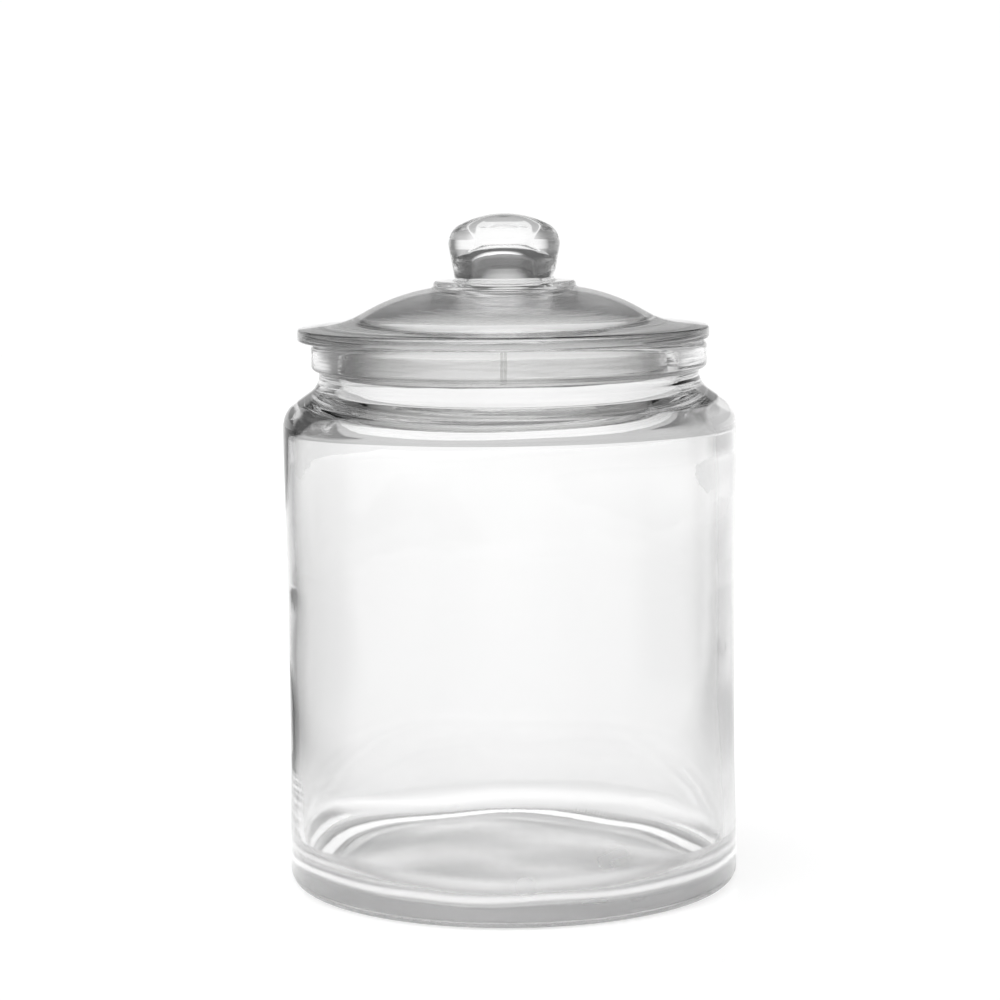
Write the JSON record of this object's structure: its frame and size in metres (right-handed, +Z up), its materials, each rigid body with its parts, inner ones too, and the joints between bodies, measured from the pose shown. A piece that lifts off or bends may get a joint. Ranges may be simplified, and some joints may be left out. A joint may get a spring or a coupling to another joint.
{
  "type": "glass storage jar with lid",
  "caption": "Upright cylindrical clear glass jar with a short wide neck, a loose domed glass lid with a round knob, and a soft strip seal round the lid's collar.",
  "frame": {"origin": "middle of the base, on the plane the jar stands on", "axes": "+Z up along the jar's axis from base to knob; -Y towards the front, where the seal's joint is; +X to the right seen from the front"},
  "size_m": [0.175, 0.175, 0.259],
  "materials": {
    "clear_glass": "clear soda-lime glass, fire-polished, with soft waves inside",
    "seal_plastic": "milky translucent soft plastic, smooth"
  },
  "bodies": {
    "root": {"jar": "clear_glass", "lid": "clear_glass", "seal": "seal_plastic"}
  },
  "joints": []
}
